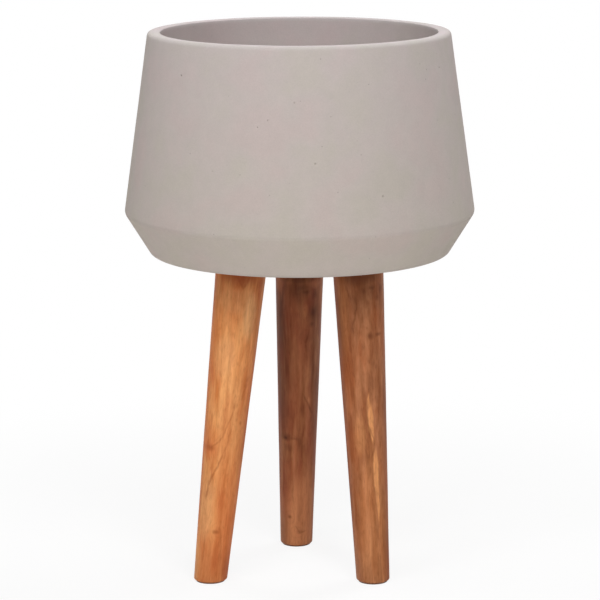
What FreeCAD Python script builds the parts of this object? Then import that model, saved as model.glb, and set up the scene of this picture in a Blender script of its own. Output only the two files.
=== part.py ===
import FreeCAD, Part
import math
import os

# A lightweight concrete planter pot, held at a comfortable height by three splayed, tapered legs of
# solid teak. The pot is one casting: a cone that narrows upwards to the rim, a crisp shoulder at its
# widest ring, and a short cone that draws in below it to a flat underside. Each leg is turned, then
# cut level at both ends, and is held by one machine bolt that passes down through the pot's floor
# into a brass insert in the leg's end grain. Rubber above and below the floor keeps the bolt hole
# watertight. A rubber stopper closes the drain hole in the middle of the floor.
#
# Frame: millimetres, Z up, the floor at Z = 0 and the pot's axis on Z. The photographed front faces
# -Y, and +X is on the right of it.

Vector = FreeCAD.Vector
UP = Vector(0, 0, 1)
OVERRUN = 10.0  # how far a cutting shape runs past what it cuts
LEVEL_TOLERANCE = 0.001  # heights closer than this are one level

# Pot, outside
UNDERSIDE_HEIGHT = 360.0  # of the pot's flat underside above the floor
POT_HEIGHT = 240.0
RIM_RADIUS = 162.6
SHOULDER_RADIUS = 190.3  # of the sharp corner: its rounding leaves the pot 380 across
SHOULDER_RISE = 47.2  # the widest ring above the underside
BASE_RADIUS = 162.8
RIM_OUTER_ROUND = 2.6
SHOULDER_ROUND = 6.0
BASE_EDGE_ROUND = 5.0

# Pot, inside
WALL = 13.8
FLOOR_THICKNESS = 18.0
RIM_INNER_CHAMFER = 1.4
INNER_FLOOR_ROUND = 12.0

# Drain hole, with a shallow seat for the stopper's flange
DRAIN_RADIUS = 12.5
DRAIN_SEAT_CLEARANCE = 1.2
DRAIN_SEAT_DEPTH = 2.0

# Bolt circle
BOLT_CIRCLE_RADIUS = 72.0
BOLT_HOLE_CLEARANCE = 0.6

# M8 button-head bolt with a hexagon socket
BOLT_RADIUS = 4.0
BOLT_LENGTH = 50.0  # under the head
BOLT_POINT_CHAMFER = 1.0
BOLT_HEAD_RADIUS = 7.0
BOLT_HEAD_HEIGHT = 4.4
BOLT_HEAD_EDGE = 0.9  # straight part of the head below its dome
BOLT_HEAD_TOP_RADIUS = 3.6
BOLT_DOME_SHARE = 0.12  # how far the dome swells, as a share of its chord
SOCKET_ACROSS_FLATS = 5.0
SOCKET_DEPTH = 2.6

# Washers under the bolt head, from the pot's floor upwards
SEALING_WASHER_RADIUS = 13.0
SEALING_WASHER_THICKNESS = 2.0
STEEL_WASHER_RADIUS = 12.0
STEEL_WASHER_THICKNESS = 2.0
LOCK_WASHER_RADIUS = 7.4
LOCK_WASHER_THICKNESS = 2.0
LOCK_WASHER_SPLIT = 1.4
LOCK_WASHER_SPLIT_ANGLE = 25.0
WASHER_BORE_CLEARANCE = 0.2

# Brass threaded insert, let in flush with the leg's top
INSERT_LENGTH = 25.0
INSERT_BODY_RADIUS = 6.0
INSERT_FLANGE_RADIUS = 8.5
INSERT_FLANGE_THICKNESS = 1.6
INSERT_BORE_CLEARANCE = 0.06
INSERT_POCKET_CLEARANCE = 0.05
INSERT_END_CHAMFER = 0.8
POCKET_END_CLEARANCE = 4.0  # drilled on into the leg, past the bolt's point and the insert

# Rubber gasket between each leg and the pot's underside, cut from sheet
GASKET_THICKNESS = 2.0
GASKET_SET_BACK = 4.0  # from the edge of the leg's top
GASKET_BORE_CLEARANCE = 0.8

# Turned leg, its radii measured square to its own axis where it is cut
LEG_TOP_RADIUS = 27.8
LEG_FOOT_RADIUS = 18.2
LEG_FOOT_ROUND = 1.8

# Felt pad under each leg, cut from sheet
FELT_THICKNESS = 1.6
FELT_SET_BACK = 0.5  # from the edge of the leg's foot

# Rubber drain stopper
STOPPER_FLANGE_RADIUS = 19.5
STOPPER_FLANGE_THICKNESS = 3.2
STOPPER_FLANGE_ROUND = 1.2
STOPPER_RIB_CLEARANCE = 0.3
STOPPER_RIB_HEIGHT = 1.4
STOPPER_RIB_PITCH = 4.2
STOPPER_RIB_COUNT = 3
STOPPER_FIRST_RIB = 1.6  # below the flange
STOPPER_NECK_CLEARANCE = 1.1
STOPPER_TIP_LENGTH = 3.0  # below the last rib
STOPPER_TIP_DRAW_IN = 1.4  # how much the tip narrows below the last rib
STOPPER_HOLLOW_RADIUS = 6.5
STOPPER_HOLLOW_DEPTH = 11.0
KNOB_NECK_RADIUS = 4.2
KNOB_NECK_HEIGHT = 3.4
KNOB_RADIUS = 7.2
KNOB_HEIGHT = 5.2
KNOB_ROUND = 2.2

# The legs' bolts stand a third of a turn apart, in degrees from +X as seen from above. The level cut
# at a leg's top sets how far it leans, and differs a little from leg to leg. A leg is free to turn
# about its upright bolt until that is tight, so each points a little to one side of straight out.
LEGS = {
    "left": {"bolt_bearing": 210.0, "lean": 6.2, "lean_bearing": 195.9},
    "right": {"bolt_bearing": 330.0, "lean": 3.6, "lean_bearing": 319.1},
    "back": {"bolt_bearing": 90.0, "lean": 4.1, "lean_bearing": 101.1},
}

# Heights that follow from the sizes above
POT_TOP = UNDERSIDE_HEIGHT + POT_HEIGHT
SHOULDER_Z = UNDERSIDE_HEIGHT + SHOULDER_RISE
POT_FLOOR_Z = UNDERSIDE_HEIGHT + FLOOR_THICKNESS
DRAIN_SEAT_Z = POT_FLOOR_Z - DRAIN_SEAT_DEPTH
LEG_TOP_Z = UNDERSIDE_HEIGHT - GASKET_THICKNESS
LEG_FOOT_Z = FELT_THICKNESS
STEEL_WASHER_Z = POT_FLOOR_Z + SEALING_WASHER_THICKNESS
LOCK_WASHER_Z = STEEL_WASHER_Z + STEEL_WASHER_THICKNESS
BOLT_HEAD_Z = LOCK_WASHER_Z + LOCK_WASHER_THICKNESS
BOLT_POINT_Z = BOLT_HEAD_Z - BOLT_LENGTH
INSERT_BOTTOM_Z = LEG_TOP_Z - INSERT_LENGTH
POCKET_BOTTOM_Z = min(BOLT_POINT_Z, INSERT_BOTTOM_Z) - POCKET_END_CLEARANCE

# Radii that follow from the sizes above
BOLT_HOLE_RADIUS = BOLT_RADIUS + BOLT_HOLE_CLEARANCE
WASHER_BORE_RADIUS = BOLT_RADIUS + WASHER_BORE_CLEARANCE
INSERT_BORE_RADIUS = BOLT_RADIUS + INSERT_BORE_CLEARANCE
GASKET_BORE_RADIUS = BOLT_RADIUS + GASKET_BORE_CLEARANCE
GASKET_RADIUS = LEG_TOP_RADIUS - GASKET_SET_BACK
FELT_RADIUS = LEG_FOOT_RADIUS - LEG_FOOT_ROUND - FELT_SET_BACK
DRAIN_SEAT_RADIUS = STOPPER_FLANGE_RADIUS + DRAIN_SEAT_CLEARANCE


def corner_arc(before, corner, after, rounding):
    """The two tangent points and the middle of an arc that rounds a corner of a flat outline."""
    to_before = (before - corner).normalize()
    to_after = (after - corner).normalize()
    half_angle = to_before.getAngle(to_after) / 2
    reach = rounding / math.tan(half_angle)
    start = corner + to_before * reach
    end = corner + to_after * reach
    towards_centre = (to_before + to_after).normalize()
    middle = corner + towards_centre * (rounding / math.sin(half_angle) - rounding)
    return start, middle, end


def rounded_outline(corners):
    """A closed wire in the XZ plane through (radius, height, rounding) corners."""
    points = [Vector(radius, 0, height) for radius, height, _ in corners]
    edges = []
    first = last = None
    for index, corner in enumerate(points):
        rounding = corners[index][2]
        start = end = corner
        if rounding:
            after = points[(index + 1) % len(points)]
            start, middle, end = corner_arc(points[index - 1], corner, after, rounding)
        if last is None:
            first = start
        else:
            edges.append(Part.LineSegment(last, start).toShape())
        if rounding:
            edges.append(Part.Arc(start, middle, end).toShape())
        last = end
    edges.append(Part.LineSegment(last, first).toShape())
    return Part.Wire(edges)


def turned(corners):
    """A solid of revolution about Z, from the corners of its half section."""
    section = Part.Face(rounded_outline(corners))
    return section.revolve(Vector(0, 0, 0), UP, 360)


def flat_ring(inner, outer, bottom, thickness):
    """A flat ring about Z."""
    top = bottom + thickness
    return turned([(inner, bottom, 0), (outer, bottom, 0), (outer, top, 0), (inner, top, 0)])


def standing_at(shape, place):
    """The shape moved from the Z axis to stand at a point of the plan."""
    moved = shape.copy()
    moved.translate(Vector(place.x, place.y, 0))
    return moved


def plan_direction(bearing):
    """A unit vector in plan, at a bearing in degrees from +X."""
    turn = math.radians(bearing)
    return Vector(math.cos(turn), math.sin(turn), 0)


def bolt_place(leg):
    """Where the leg's bolt goes through the pot's floor, in plan."""
    return plan_direction(leg["bolt_bearing"]) * BOLT_CIRCLE_RADIUS


def foot_place(leg):
    """Where the middle of the leg's foot stands, in plan."""
    drop = LEG_TOP_Z - LEG_FOOT_Z
    stride = drop * math.tan(math.radians(leg["lean"]))
    return bolt_place(leg) + plan_direction(leg["lean_bearing"]) * stride


def radius_between(height, low, high):
    """The radius at a height on the straight wall between two (radius, height) rings."""
    share = (height - low[1]) / (high[1] - low[1])
    return low[0] + (high[0] - low[0]) * share


def inner_wall(low, high):
    """The two rings of an outer wall, moved in by the wall's thickness measured square to it."""
    slant = math.hypot(high[0] - low[0], high[1] - low[1])
    step = WALL * slant / (high[1] - low[1])
    return (low[0] - step, low[1]), (high[0] - step, high[1])


def wall_crossing(lower, upper):
    """The height at which the lower and upper inner walls meet."""
    lower_rate = (lower[1][0] - lower[0][0]) / (lower[1][1] - lower[0][1])
    upper_rate = (upper[1][0] - upper[0][0]) / (upper[1][1] - upper[0][1])
    at_shoulder = lower[1][0] - upper[0][0]
    return SHOULDER_Z + at_shoulder / (upper_rate - lower_rate)


def pot():
    """The one-piece concrete pot, with its drain hole and three bolt holes."""
    base_ring = (BASE_RADIUS, UNDERSIDE_HEIGHT)
    shoulder_ring = (SHOULDER_RADIUS, SHOULDER_Z)
    rim_ring = (RIM_RADIUS, POT_TOP)
    lower = inner_wall(base_ring, shoulder_ring)
    upper = inner_wall(shoulder_ring, rim_ring)
    bend = wall_crossing(lower, upper)
    body = turned([
        (0, UNDERSIDE_HEIGHT, 0),
        (*base_ring, BASE_EDGE_ROUND),
        (*shoulder_ring, SHOULDER_ROUND),
        (*rim_ring, RIM_OUTER_ROUND),
        (upper[1][0] + RIM_INNER_CHAMFER, POT_TOP, 0),
        (radius_between(POT_TOP - RIM_INNER_CHAMFER, *upper), POT_TOP - RIM_INNER_CHAMFER, 0),
        (radius_between(bend, *upper), bend, 0),
        (radius_between(POT_FLOOR_Z, *lower), POT_FLOOR_Z, INNER_FLOOR_ROUND),
        (0, POT_FLOOR_Z, 0),
    ])
    depth = FLOOR_THICKNESS + OVERRUN + OVERRUN
    below = Vector(0, 0, UNDERSIDE_HEIGHT - OVERRUN)
    body = body.cut(Part.makeCylinder(DRAIN_RADIUS, depth, below))
    body = body.cut(Part.makeCylinder(DRAIN_SEAT_RADIUS, depth, Vector(0, 0, DRAIN_SEAT_Z)))
    bolt_hole = Part.makeCylinder(BOLT_HOLE_RADIUS, depth, below)
    for leg in LEGS.values():
        body = body.cut(standing_at(bolt_hole, bolt_place(leg)))
    return body


def drain_stopper():
    """The rubber stopper: a pull knob, a flange that seals on its seat, and a ribbed, hollow plug."""
    rib_radius = DRAIN_RADIUS - STOPPER_RIB_CLEARANCE
    neck_radius = DRAIN_RADIUS - STOPPER_NECK_CLEARANCE
    flange_top = DRAIN_SEAT_Z + STOPPER_FLANGE_THICKNESS
    knob_bottom = flange_top + KNOB_NECK_HEIGHT
    first_rib_top = DRAIN_SEAT_Z - STOPPER_FIRST_RIB
    last_rib_top = first_rib_top - (STOPPER_RIB_COUNT - 1) * STOPPER_RIB_PITCH
    tip = last_rib_top - STOPPER_RIB_HEIGHT - STOPPER_TIP_LENGTH
    corners = [
        (0, tip + STOPPER_HOLLOW_DEPTH, 0),
        (STOPPER_HOLLOW_RADIUS, tip + STOPPER_HOLLOW_DEPTH, 0),
        (STOPPER_HOLLOW_RADIUS, tip, 0),
        (neck_radius - STOPPER_TIP_DRAW_IN, tip, 0),
    ]
    for count in range(STOPPER_RIB_COUNT):
        rib_top = last_rib_top + count * STOPPER_RIB_PITCH
        rib_bottom = rib_top - STOPPER_RIB_HEIGHT
        corners += [(neck_radius, rib_bottom, 0), (rib_radius, rib_top, 0), (neck_radius, rib_top, 0)]
    corners += [
        (neck_radius, DRAIN_SEAT_Z, 0),
        (STOPPER_FLANGE_RADIUS, DRAIN_SEAT_Z, 0),
        (STOPPER_FLANGE_RADIUS, flange_top, STOPPER_FLANGE_ROUND),
        (KNOB_NECK_RADIUS, flange_top, 0),
        (KNOB_NECK_RADIUS, knob_bottom, 0),
        (KNOB_RADIUS, knob_bottom, KNOB_ROUND),
        (KNOB_RADIUS, knob_bottom + KNOB_HEIGHT, KNOB_ROUND),
        (0, knob_bottom + KNOB_HEIGHT, 0),
    ]
    return turned(corners)


def edges_at(shape, height):
    """The shape's edges that lie all the way round in one level plane."""
    level = []
    for edge in shape.Edges:
        box = edge.BoundBox
        if abs(box.ZMin - height) < LEVEL_TOLERANCE and abs(box.ZMax - height) < LEVEL_TOLERANCE:
            level.append(edge)
    return level


def turned_leg(leg):
    """One tapered leg along its leaning axis, cut level at both ends and drilled for its insert."""
    top = bolt_place(leg) + Vector(0, 0, LEG_TOP_Z)
    foot = foot_place(leg) + Vector(0, 0, LEG_FOOT_Z)
    axis = top - foot
    taper = (LEG_TOP_RADIUS - LEG_FOOT_RADIUS) / axis.Length
    blank_start = foot - axis * (OVERRUN / axis.Length)
    blank = Part.makeCone(
        LEG_FOOT_RADIUS - taper * OVERRUN,
        LEG_TOP_RADIUS + taper * OVERRUN,
        axis.Length + OVERRUN + OVERRUN,
        blank_start,
        axis,
    )
    reach = axis.Length + BOLT_CIRCLE_RADIUS
    between_cuts = Part.makeCylinder(reach, LEG_TOP_Z - LEG_FOOT_Z, Vector(0, 0, LEG_FOOT_Z))
    body = blank.common(between_cuts).Solids[0]
    body = body.makeFillet(LEG_FOOT_ROUND, edges_at(body, LEG_FOOT_Z))
    body_pocket = Part.makeCylinder(
        INSERT_BODY_RADIUS + INSERT_POCKET_CLEARANCE,
        LEG_TOP_Z - POCKET_BOTTOM_Z + OVERRUN,
        Vector(top.x, top.y, POCKET_BOTTOM_Z),
    )
    flange_pocket = Part.makeCylinder(
        INSERT_FLANGE_RADIUS + INSERT_POCKET_CLEARANCE,
        INSERT_FLANGE_THICKNESS + OVERRUN,
        Vector(top.x, top.y, LEG_TOP_Z - INSERT_FLANGE_THICKNESS),
    )
    return body.cut(body_pocket).cut(flange_pocket)


def leg_insert(leg):
    """The flanged brass insert, flush with the leg's top."""
    under_flange = LEG_TOP_Z - INSERT_FLANGE_THICKNESS
    insert = turned([
        (INSERT_BORE_RADIUS, INSERT_BOTTOM_Z, 0),
        (INSERT_BODY_RADIUS - INSERT_END_CHAMFER, INSERT_BOTTOM_Z, 0),
        (INSERT_BODY_RADIUS, INSERT_BOTTOM_Z + INSERT_END_CHAMFER, 0),
        (INSERT_BODY_RADIUS, under_flange, 0),
        (INSERT_FLANGE_RADIUS, under_flange, 0),
        (INSERT_FLANGE_RADIUS, LEG_TOP_Z, 0),
        (INSERT_BORE_RADIUS, LEG_TOP_Z, 0),
    ])
    return standing_at(insert, bolt_place(leg))


def leg_gasket(leg):
    """The rubber ring between the leg's top and the pot's underside."""
    ring = flat_ring(GASKET_BORE_RADIUS, GASKET_RADIUS, LEG_TOP_Z, GASKET_THICKNESS)
    return standing_at(ring, bolt_place(leg))


def sealing_washer(leg):
    """The rubber washer that seals the bolt hole inside the pot."""
    ring = flat_ring(
        WASHER_BORE_RADIUS,
        SEALING_WASHER_RADIUS,
        POT_FLOOR_Z,
        SEALING_WASHER_THICKNESS,
    )
    return standing_at(ring, bolt_place(leg))


def steel_washer(leg):
    """The wide steel washer that spreads the bolt's load."""
    ring = flat_ring(
        WASHER_BORE_RADIUS,
        STEEL_WASHER_RADIUS,
        STEEL_WASHER_Z,
        STEEL_WASHER_THICKNESS,
    )
    return standing_at(ring, bolt_place(leg))


def lock_washer(leg):
    """The split spring washer under the bolt head, pressed flat, with its slanted gap facing outwards."""
    ring = flat_ring(WASHER_BORE_RADIUS, LOCK_WASHER_RADIUS, LOCK_WASHER_Z, LOCK_WASHER_THICKNESS)
    middle = Vector(0, 0, LOCK_WASHER_Z + LOCK_WASHER_THICKNESS / 2)
    tall = LOCK_WASHER_THICKNESS + OVERRUN
    gap = Part.makeBox(
        LOCK_WASHER_RADIUS + OVERRUN,
        LOCK_WASHER_SPLIT,
        tall,
        middle - Vector(0, LOCK_WASHER_SPLIT / 2, tall / 2),
    )
    gap.rotate(middle, Vector(1, 0, 0), LOCK_WASHER_SPLIT_ANGLE)
    split = ring.cut(gap)
    split.rotate(middle, UP, leg["bolt_bearing"])
    return standing_at(split, bolt_place(leg))


def hexagon_prism(across_flats, bottom, height):
    """A hexagonal prism about Z."""
    corner_radius = across_flats / 2 / math.cos(math.pi / 6)
    corners = []
    for side in range(7):
        turn = side * math.pi / 3
        corners.append(Vector(corner_radius * math.cos(turn), corner_radius * math.sin(turn), bottom))
    return Part.Face(Part.makePolygon(corners)).extrude(UP * height)


def leg_bolt(leg):
    """The button-head bolt, with its domed head, hexagon socket and chamfered point."""
    head_top = BOLT_HEAD_Z + BOLT_HEAD_HEIGHT
    edge_top = Vector(BOLT_HEAD_RADIUS, 0, BOLT_HEAD_Z + BOLT_HEAD_EDGE)
    dome_top = Vector(BOLT_HEAD_TOP_RADIUS, 0, head_top)
    chord = dome_top - edge_top
    outwards = Vector(chord.z, 0, -chord.x)
    dome_middle = (edge_top + dome_top) / 2 + outwards * BOLT_DOME_SHARE
    outline = [
        Vector(0, 0, head_top),
        Vector(0, 0, BOLT_POINT_Z),
        Vector(BOLT_RADIUS - BOLT_POINT_CHAMFER, 0, BOLT_POINT_Z),
        Vector(BOLT_RADIUS, 0, BOLT_POINT_Z + BOLT_POINT_CHAMFER),
        Vector(BOLT_RADIUS, 0, BOLT_HEAD_Z),
        Vector(BOLT_HEAD_RADIUS, 0, BOLT_HEAD_Z),
        edge_top,
    ]
    edges = [Part.LineSegment(a, b).toShape() for a, b in zip(outline, outline[1:])]
    edges.append(Part.Arc(edge_top, dome_middle, dome_top).toShape())
    edges.append(Part.LineSegment(dome_top, outline[0]).toShape())
    body = Part.Face(Part.Wire(edges)).revolve(Vector(0, 0, 0), UP, 360)
    socket = hexagon_prism(SOCKET_ACROSS_FLATS, head_top - SOCKET_DEPTH, SOCKET_DEPTH + OVERRUN)
    return standing_at(body.cut(socket), bolt_place(leg))


def felt_pad(leg):
    """The felt disc under the leg's foot."""
    return standing_at(Part.makeCylinder(FELT_RADIUS, FELT_THICKNESS), foot_place(leg))


LEG_PIECES = {
    "leg": turned_leg,
    "leg_insert": leg_insert,
    "leg_gasket": leg_gasket,
    "sealing_washer": sealing_washer,
    "steel_washer": steel_washer,
    "lock_washer": lock_washer,
    "leg_bolt": leg_bolt,
    "felt_pad": felt_pad,
}


def all_pieces():
    """Every piece of the planter, by name."""
    pieces = {"pot": pot(), "drain_stopper": drain_stopper()}
    for side, leg in LEGS.items():
        for name, make in LEG_PIECES.items():
            pieces[f"{name}_{side}"] = make(leg)
    return pieces


os.makedirs("parts", exist_ok=True)
for name, shape in all_pieces().items():
    shape.exportStep(f"parts/{name}.step")
    print(f"{name}: {len(shape.Solids)} solid, {shape.Volume / 1000:.2f} cm3, valid {shape.isValid()}")
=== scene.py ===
import functools
import math
import random

import bpy
from mathutils import Matrix, Vector


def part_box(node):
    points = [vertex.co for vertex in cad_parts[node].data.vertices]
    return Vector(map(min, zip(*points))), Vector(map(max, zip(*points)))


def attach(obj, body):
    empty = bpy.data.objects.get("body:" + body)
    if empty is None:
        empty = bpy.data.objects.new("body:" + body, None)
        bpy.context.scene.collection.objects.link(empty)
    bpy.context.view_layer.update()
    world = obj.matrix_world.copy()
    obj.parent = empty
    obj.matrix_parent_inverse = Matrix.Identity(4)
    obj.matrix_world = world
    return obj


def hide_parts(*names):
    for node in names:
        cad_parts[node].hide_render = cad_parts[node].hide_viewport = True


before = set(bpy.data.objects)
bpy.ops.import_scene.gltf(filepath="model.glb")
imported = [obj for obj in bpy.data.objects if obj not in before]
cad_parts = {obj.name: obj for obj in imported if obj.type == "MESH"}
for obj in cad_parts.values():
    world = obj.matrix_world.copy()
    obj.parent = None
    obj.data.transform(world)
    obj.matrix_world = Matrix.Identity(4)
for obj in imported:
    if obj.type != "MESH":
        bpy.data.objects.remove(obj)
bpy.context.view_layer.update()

# A cast concrete planter pot on three turned teak legs. Metres, Z up, the front facing -Y. The pot,
# legs, bolts, inserts, stopper and felt pads are modelled here in finer form than their plain solids,
# and each stays where its solid is. Washers and gaskets keep their solids and get their finish.

SIDES = ("left", "right", "back")


def mm(length):
    """A length in millimetres, in metres."""
    return length / 1000


# Camera, solved from the outline of the pot and legs in the photograph
CAMERA_PLACE = Vector((0, -3, 0.905))
CAMERA_DIP = 0.1975  # radians below level
CAMERA_ROLL = -0.0033
CAMERA_LENS = 167.39  # millimetres, for a 36 mm sensor
SENSOR_WIDTH = 36
PICTURE_SIZE = 600  # pixels, square

# How near two places count as the same
MERGE_DISTANCE = mm(0.005)
LEVEL_TOLERANCE = mm(0.05)
RING_RADIUS_TOLERANCE = mm(0.06)
RING_HEIGHT_TOLERANCE = mm(0.02)

# Pot
POT_SIDES = 320
RIM_RADIUS = mm(163.3)
SHOULDER_RADIUS = mm(190.3)
SHOULDER_RISE = mm(45.2)
BASE_RADIUS = mm(162.3)
WALL = mm(13.8)
FLOOR_THICKNESS = mm(18)
DRAIN_RADIUS = mm(12.5)
DRAIN_SEAT_RADIUS = mm(20.7)
DRAIN_SEAT_DEPTH = mm(2)
BOLT_HOLE_RADIUS = mm(4.6)
BOLT_HOLE_SIDES = 32
FACE_SPACING = mm(3.6)  # between the rings of faces on the walls
WALL_RUNS = 4  # outer and inner wall, above and below the shoulder
CASTING_WAVINESS = mm(0.5)
CASTING_WAVE_LENGTH = mm(75)
EVEN_FLOOR_RISE = mm(4)  # above the inside floor, up to where nothing is wavy

# In each table of rounds: how far each side of a corner its rounding reaches, and in how many steps
POT_ROUNDS = {
    "base": (mm(3.4), 6), "shoulder": (mm(2.9), 6), "rim": (mm(3.4), 8), "inner_rim": (mm(1.4), 4),
    "inner_bend": (mm(3), 4), "inner_corner": (mm(8), 6), "seat_rim": (mm(0.8), 3),
    "drain_top": (mm(0.6), 2),
}

# Air holes in the casting: pixels of the photograph where one shows, and how many more there are
SEEN_AIR_HOLES = (
    (268, 121), (258, 129), (359, 142), (181, 75), (295, 103), (211, 173), (314, 162), (361, 154),
    (268, 197), (384, 196), (427, 69), (330, 118),
)
UNSEEN_AIR_HOLES = 90
PHOTOGRAPHED_DEPTH = mm(100)  # the photograph shows what lies further forward than this
AIR_HOLE_FACE_SIZES = (0.85, 1.15)  # smallest and largest face that gets one, in face spacings
AIR_HOLE_DEPTH = mm(0.9)
AIR_HOLE_SLOPE = mm(0.15)  # how far in each side goes on its way down
AIR_HOLE_RIMS = (mm(0.95), mm(1.15), mm(1.3))  # left around the hole in its face: wide to narrow holes

# Legs
LEG_SIDES = 96
LEG_TOP_RADIUS = mm(27.8)
LEG_FOOT_RADIUS = mm(18.2)
LEG_FOOT_EASING = mm(1.8)
LEG_SPARE_LENGTH = mm(12)  # turned on at each end, and taken off by the level cuts
LEG_LONG_EDGE = mm(100)  # only the edges along a leg are longer
LEG_RINGS = 90
TURNING_WAVINESS = mm(0.35)
TURNING_WAVE_LENGTH = mm(45)
EVEN_FOOT_RISE = mm(4)  # not wavy, so that the foot and the top stay level and round
EVEN_TOP_DEPTH = mm(2)
POCKET_CLEARANCE = mm(0.05)
POCKET_END_CLEARANCE = mm(4)

# Bolts and threaded inserts
FASTENER_SIDES = 48
THREAD_STEPS = 24  # to a turn
TRIANGLE_HEIGHT = 1.5  # in distances from its middle to a corner
BOLT_RADIUS = mm(4)
BOLT_ROOT_RADIUS = mm(3.4)
BOLT_POINT_RADIUS = mm(2.6)
BOLT_POINT_LENGTH = mm(0.8)
BOLT_THREAD_START = mm(1.2)
BOLT_THREAD_LENGTH = mm(28)
BOLT_THREAD_RUNOUT = mm(0.6)
BOLT_THREAD_PITCH = mm(1.25)
BOLT_THREAD_SINK = mm(0.1)  # how far the ridge goes into the shank
BOLT_HEAD_RADIUS = mm(7)
BOLT_HEAD_HEIGHT = mm(4.4)
BOLT_HEAD_EDGE = mm(0.9)
BOLT_DOME_RADIUS = mm(5.72)
BOLT_DOME_RISE = mm(3.06)
BOLT_CROWN_RADIUS = mm(3.6)
BOLT_ROUNDS = {
    "under_head": (mm(0.2), 4), "head_edge": (mm(0.35), 4), "dome": (mm(1.3), 4), "crown": (mm(0.4), 4),
}
SOCKET_SIDES = 6
SOCKET_ACROSS_FLATS = mm(5)
SOCKET_DEPTH = mm(2.6)
INSERT_BORE_RADIUS = mm(4.06)
INSERT_ROOT_RADIUS = mm(5)
INSERT_RADIUS = mm(6)
INSERT_THREAD_PITCH = mm(3)
INSERT_THREAD_SINK = mm(0.3)
INSERT_PLAIN_END = mm(1.5)  # without thread, at each end
INSERT_FLANGE_RADIUS = mm(8.5)
INSERT_FLANGE_THICKNESS = mm(1.6)
INSERT_ROUNDS = {"flange_top": (mm(0.3), 3)}

# Drain stopper
STOPPER_SIDES = 96
STOPPER_FLANGE_THICKNESS = mm(3.2)
STOPPER_RIB_RADIUS = mm(12.2)
STOPPER_NECK_RADIUS = mm(11.4)
STOPPER_TIP_RADIUS = mm(10)
STOPPER_RIB_HEIGHT = mm(1.4)
STOPPER_RIB_PITCH = mm(4.2)
STOPPER_RIB_COUNT = 3
STOPPER_FIRST_RIB = mm(1.6)
STOPPER_HOLLOW_RADIUS = mm(6.5)
STOPPER_HOLLOW_DEPTH = mm(11)
KNOB_NECK_RADIUS = mm(4.2)
KNOB_RADIUS = mm(7.2)
KNOB_HEIGHT = mm(5.2)
STOPPER_ROUNDS = {
    "rib_2": (mm(0.15), 5), "rib_1": (mm(0.15), 5), "rib_0": (mm(0.15), 5), "flange_bottom": (mm(0.4), 5),
    "flange_top": (mm(1.2), 5), "neck_bottom": (mm(1.2), 5), "neck_top": (mm(0.8), 5),
    "knob_bottom": (mm(2), 5), "knob_top": (mm(2.2), 5), "tip": (mm(0.6), 5),
}

# Felt pads
FELT_SIDES = 120
FELT_UPRIGHT_SHARE = 0.99  # of the thickness: only the upright edges are longer
FELT_EDGE_CUTS = 3
FELT_EDGE_ROUND = mm(0.25)
FELT_FUZZ = mm(0.25)
FELT_FUZZ_LENGTH = mm(1.2)
FELT_EVEN_DEPTH = mm(0.1)  # next to each flat face, without fuzz


def end_edit():
    bpy.ops.object.mode_set(mode="OBJECT")


def deselect_objects():
    """Nothing selected and nothing in edit mode."""
    if bpy.context.object and bpy.context.object.mode != "OBJECT":
        end_edit()
    bpy.ops.object.select_all(action="DESELECT")


def only(piece):
    """The piece is the one selected, active object."""
    deselect_objects()
    piece.select_set(True)
    bpy.context.view_layer.objects.active = piece


def new_piece(name):
    """The object that an operator has just added, under its own name, with its place in its mesh."""
    piece = bpy.context.object
    piece.name = name
    piece.data.name = name
    bpy.ops.object.transform_apply(location=True, rotation=True, scale=True)
    return piece


def choose(piece, kind, wanted):
    """Goes to edit mode with those edges or faces selected that a test picks out."""
    only(piece)
    mesh = piece.data
    bpy.ops.object.mode_set(mode="EDIT")
    bpy.ops.mesh.select_mode(type=kind)
    bpy.ops.mesh.select_all(action="DESELECT")
    end_edit()
    for element in mesh.edges if kind == "EDGE" else mesh.polygons:
        element.select = wanted(element)
    bpy.ops.object.mode_set(mode="EDIT")


def apply_modifiers(piece):
    only(piece)
    for modifier in list(piece.modifiers):
        bpy.ops.object.modifier_apply(modifier=modifier.name)


def join_or_cut(piece, tool, operation):
    """Joins another closed piece to this one, or cuts it away, and removes it."""
    boolean = piece.modifiers.new("with_tool", "BOOLEAN")
    boolean.operation = operation
    boolean.solver = "EXACT"
    boolean.object = tool
    apply_modifiers(piece)
    bpy.data.objects.remove(tool, do_unlink=True)


def cylinder(name, sides, radius, low, high, centre):
    """An upright cylinder between two heights, to shape further or to cut with."""
    deselect_objects()
    middle = (centre.x, centre.y, (low + high) / 2)
    bpy.ops.mesh.primitive_cylinder_add(vertices=sides, radius=radius, depth=high - low, location=middle)
    return new_piece(name)


def smooth(piece, degrees=35):
    only(piece)
    bpy.ops.object.shade_smooth_by_angle(angle=math.radians(degrees))


def middle_of(node):
    """The middle of a CAD node's box."""
    low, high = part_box(node)
    return (low + high) / 2


def stand_for(piece, node, body):
    """The piece replaces a CAD node and moves with its body."""
    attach(piece, body)
    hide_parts(node)


def round_edges(piece, wanted, reach, segments):
    """Rounds the edges that a test picks out, from a distance each side of them."""
    choose(piece, "EDGE", wanted)
    bpy.ops.mesh.bevel(offset_type="OFFSET", offset=reach, segments=segments)
    end_edit()


def divide_edges(piece, wanted, cuts):
    """Divides the edges that a test picks out, and the faces between them."""
    choose(piece, "EDGE", wanted)
    bpy.ops.mesh.subdivide(number_cuts=cuts)
    end_edit()


def on_ring(piece, ring):
    """A test for the edges that run round one (radius, height) ring about Z."""
    vertices = piece.data.vertices
    radius, height = ring

    def test(edge):
        ends = [vertices[index].co for index in edge.vertices]
        return all(
            abs(math.hypot(end.x, end.y) - radius) < RING_RADIUS_TOLERANCE
            and abs(end.z - height) < RING_HEIGHT_TOLERANCE
            for end in ends
        )

    return test


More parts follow.
